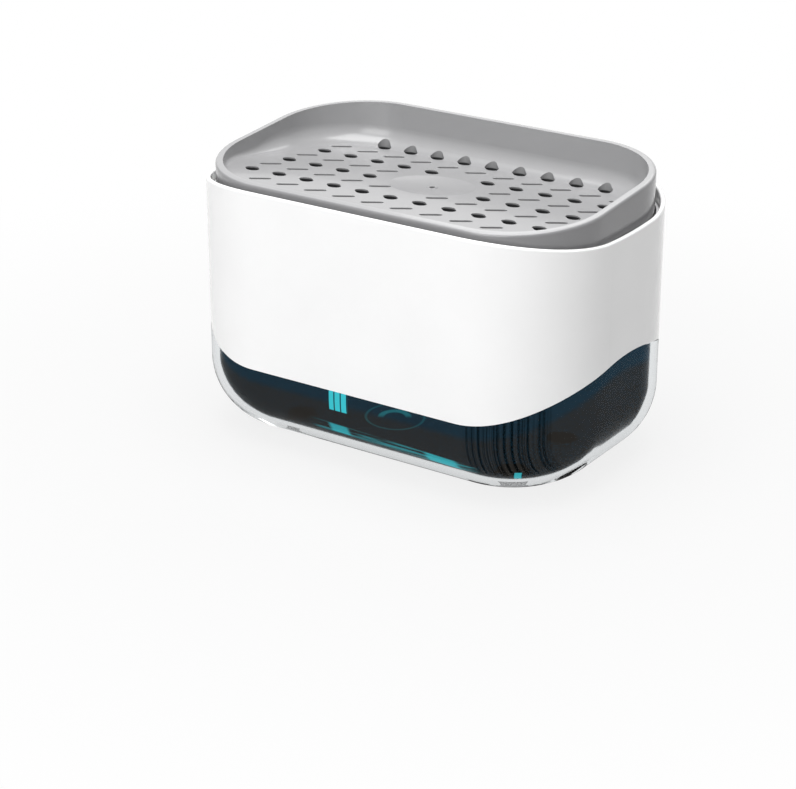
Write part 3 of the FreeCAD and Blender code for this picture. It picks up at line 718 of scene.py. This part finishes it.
class FinishTray(bpy.types.Operator):
    """Give the tray, its hub and the outlet their satin grey"""

    bl_idname = "caddy.finish_tray"
    bl_label = "Tray"

    def execute(self, context):
        tones = context.scene.caddy_colors
        sizes = context.scene.caddy_sizes
        paint(drained_plastic("grey_satin", tones, sizes), "press_tray", "tray_hub")
        paint(moulded_plastic("outlet_plastic", tones.outlet, 0.3, 2000.0, 0.000008), "outlet_nozzle")
        return {"FINISHED"}


class SetStage(bpy.types.Operator):
    """Set up the floor, the room, the lights and the camera"""

    bl_idname = "caddy.set_stage"
    bl_label = "Stage"

    def execute(self, context):
        stage = context.scene.caddy_stage
        context.scene.view_settings.view_transform = "Standard"
        self.room(context.scene, stage)
        self.floor(context.scene, stage)
        centre = (CAD_BOX[0] + CAD_BOX[1]) / 2
        for name, place, width in LAMPS:
            self.light(context.scene, f"{name}_light", place, centre, width, getattr(stage, f"{name}_power"))
        self.camera(context.scene, stage)
        return {"FINISHED"}

    def seen_directly(self, finish):
        """1 for rays that show the background to the camera, in gloss or through clear pieces."""
        direct = finish.ray(CAMERA_RAY)
        for kind in (GLOSSY_RAY, TRANSMISSION_RAY):
            direct = finish.math("MAXIMUM", direct, finish.ray(kind))
        return direct

    def mirrored(self, finish):
        """1 for rays thrown back by a clear wall, which find the studio darker and so leave less speckle."""
        return finish.ray(SINGULAR_RAY) * finish.ray(REFLECTION_RAY)

    def room(self, scene, stage):
        world = bpy.data.worlds.new("studio_room")
        world.use_nodes = True
        finish = Finish(world.node_tree)
        strength = stage.room_light + self.seen_directly(finish) * (1.0 - stage.room_light)
        strength = strength * (1.0 - self.mirrored(finish) * (1.0 - MIRRORED_LIGHT))
        light = finish.node("ShaderNodeBackground", {}, {"Color": WHITE, "Strength": strength})
        finish.node("ShaderNodeOutputWorld", {}, {"Surface": light})
        scene.world = world

    def floor(self, scene, stage):
        material, finish = new_material("pale_floor")
        place = finish.place()
        mottle = finish.noise(place, 14.0, 3.0)
        distance = finish.node("ShaderNodeVectorMath", {"operation": "LENGTH"}, {"Vector": place}, output=1)
        far = finish.between(distance, 0.06, 0.30)
        tone = finish.blend(mottle, shade(stage.floor_color, 0.99), shade(stage.floor_color, 1.01))
        lit = finish.node("ShaderNodeBsdfPrincipled", {}, {"Base Color": tone, "Roughness": 0.9})
        white = finish.node("ShaderNodeEmission", {}, {"Color": WHITE, "Strength": 1.0})
        share = self.seen_directly(finish) * (stage.floor_white + far * (1.0 - stage.floor_white))
        mixed = finish.node("ShaderNodeMixShader", {}, {"Fac": share, "Shader": lit, "Shader_001": white})
        dark = finish.node("ShaderNodeEmission", {}, {"Color": shade(WHITE[:3], MIRRORED_LIGHT), "Strength": 1.0})
        shown = finish.node("ShaderNodeMixShader", {},
                            {"Fac": self.mirrored(finish), "Shader": mixed, "Shader_001": dark})
        finish.node("ShaderNodeOutputMaterial", {}, {"Surface": shown})
        corners = [(-1, -1), (1, -1), (1, 1), (-1, 1)]
        mesh = bpy.data.meshes.new("floor")
        mesh.from_pydata([(x * FLOOR_REACH, y * FLOOR_REACH, 0) for x, y in corners], [], [(0, 1, 2, 3)])
        mesh.materials.append(material)
        floor = bpy.data.objects.new("floor", mesh)
        scene.collection.objects.link(floor)

    def light(self, scene, name, place, aim, width, power):
        data = bpy.data.lights.new(name, "AREA")
        data.shape = "SQUARE"
        data.size = width
        data.energy = power
        lamp = bpy.data.objects.new(name, data)
        lamp.location = place
        lamp.visible_camera = False
        lamp.rotation_euler = (aim - Vector(place)).to_track_quat("-Z", "Y").to_euler()
        scene.collection.objects.link(lamp)

    def camera(self, scene, stage):
        data = bpy.data.cameras.new("camera")
        data.sensor_width = SENSOR_MM
        data.lens = stage.focal_pixels / PHOTO_WIDTH * SENSOR_MM
        data.clip_start = 0.01
        camera = bpy.data.objects.new("camera", data)
        camera.location = stage.camera_place
        turn, tilt = stage.camera_turn, stage.camera_tilt
        ahead = Vector((-math.sin(turn) * math.cos(tilt), math.cos(turn) * math.cos(tilt), -math.sin(tilt)))
        camera.rotation_euler = ahead.to_track_quat("-Z", "Y").to_euler()
        scene.collection.objects.link(camera)
        scene.camera = camera


class CADDY_PT_sidebar(bpy.types.Panel):
    """Lists the steps that dress the caddy"""

    bl_idname = "CADDY_PT_sidebar"
    bl_label = "Soap pump caddy"
    bl_space_type = "VIEW_3D"
    bl_region_type = "UI"
    bl_category = "Caddy"

    def draw(self, context):
        for step in STEPS:
            self.layout.operator(step.bl_idname)


STEPS = (FinishSleeve, FinishTank, FillSoap, FinishLid, FinishPump, RibClosure, WindSpring, FinishTray, SetStage)
GROUPS = (("caddy_sizes", CaddySizes), ("caddy_colors", CaddyColors), ("caddy_stage", CaddyStage))


def register():
    for name, group in GROUPS:
        bpy.utils.register_class(group)
        setattr(bpy.types.Scene, name, PointerProperty(type=group))
    for item in (*STEPS, CADDY_PT_sidebar):
        bpy.utils.register_class(item)


def unregister():
    for item in (CADDY_PT_sidebar, *reversed(STEPS)):
        bpy.utils.unregister_class(item)
    for name, group in reversed(GROUPS):
        delattr(bpy.types.Scene, name)
        bpy.utils.unregister_class(group)


def main():
    register()
    for step in STEPS:
        family, action = step.bl_idname.split(".")
        getattr(getattr(bpy.ops, family), action)()
    bpy.context.view_layer.update()


if __name__ == "__main__":
    main()
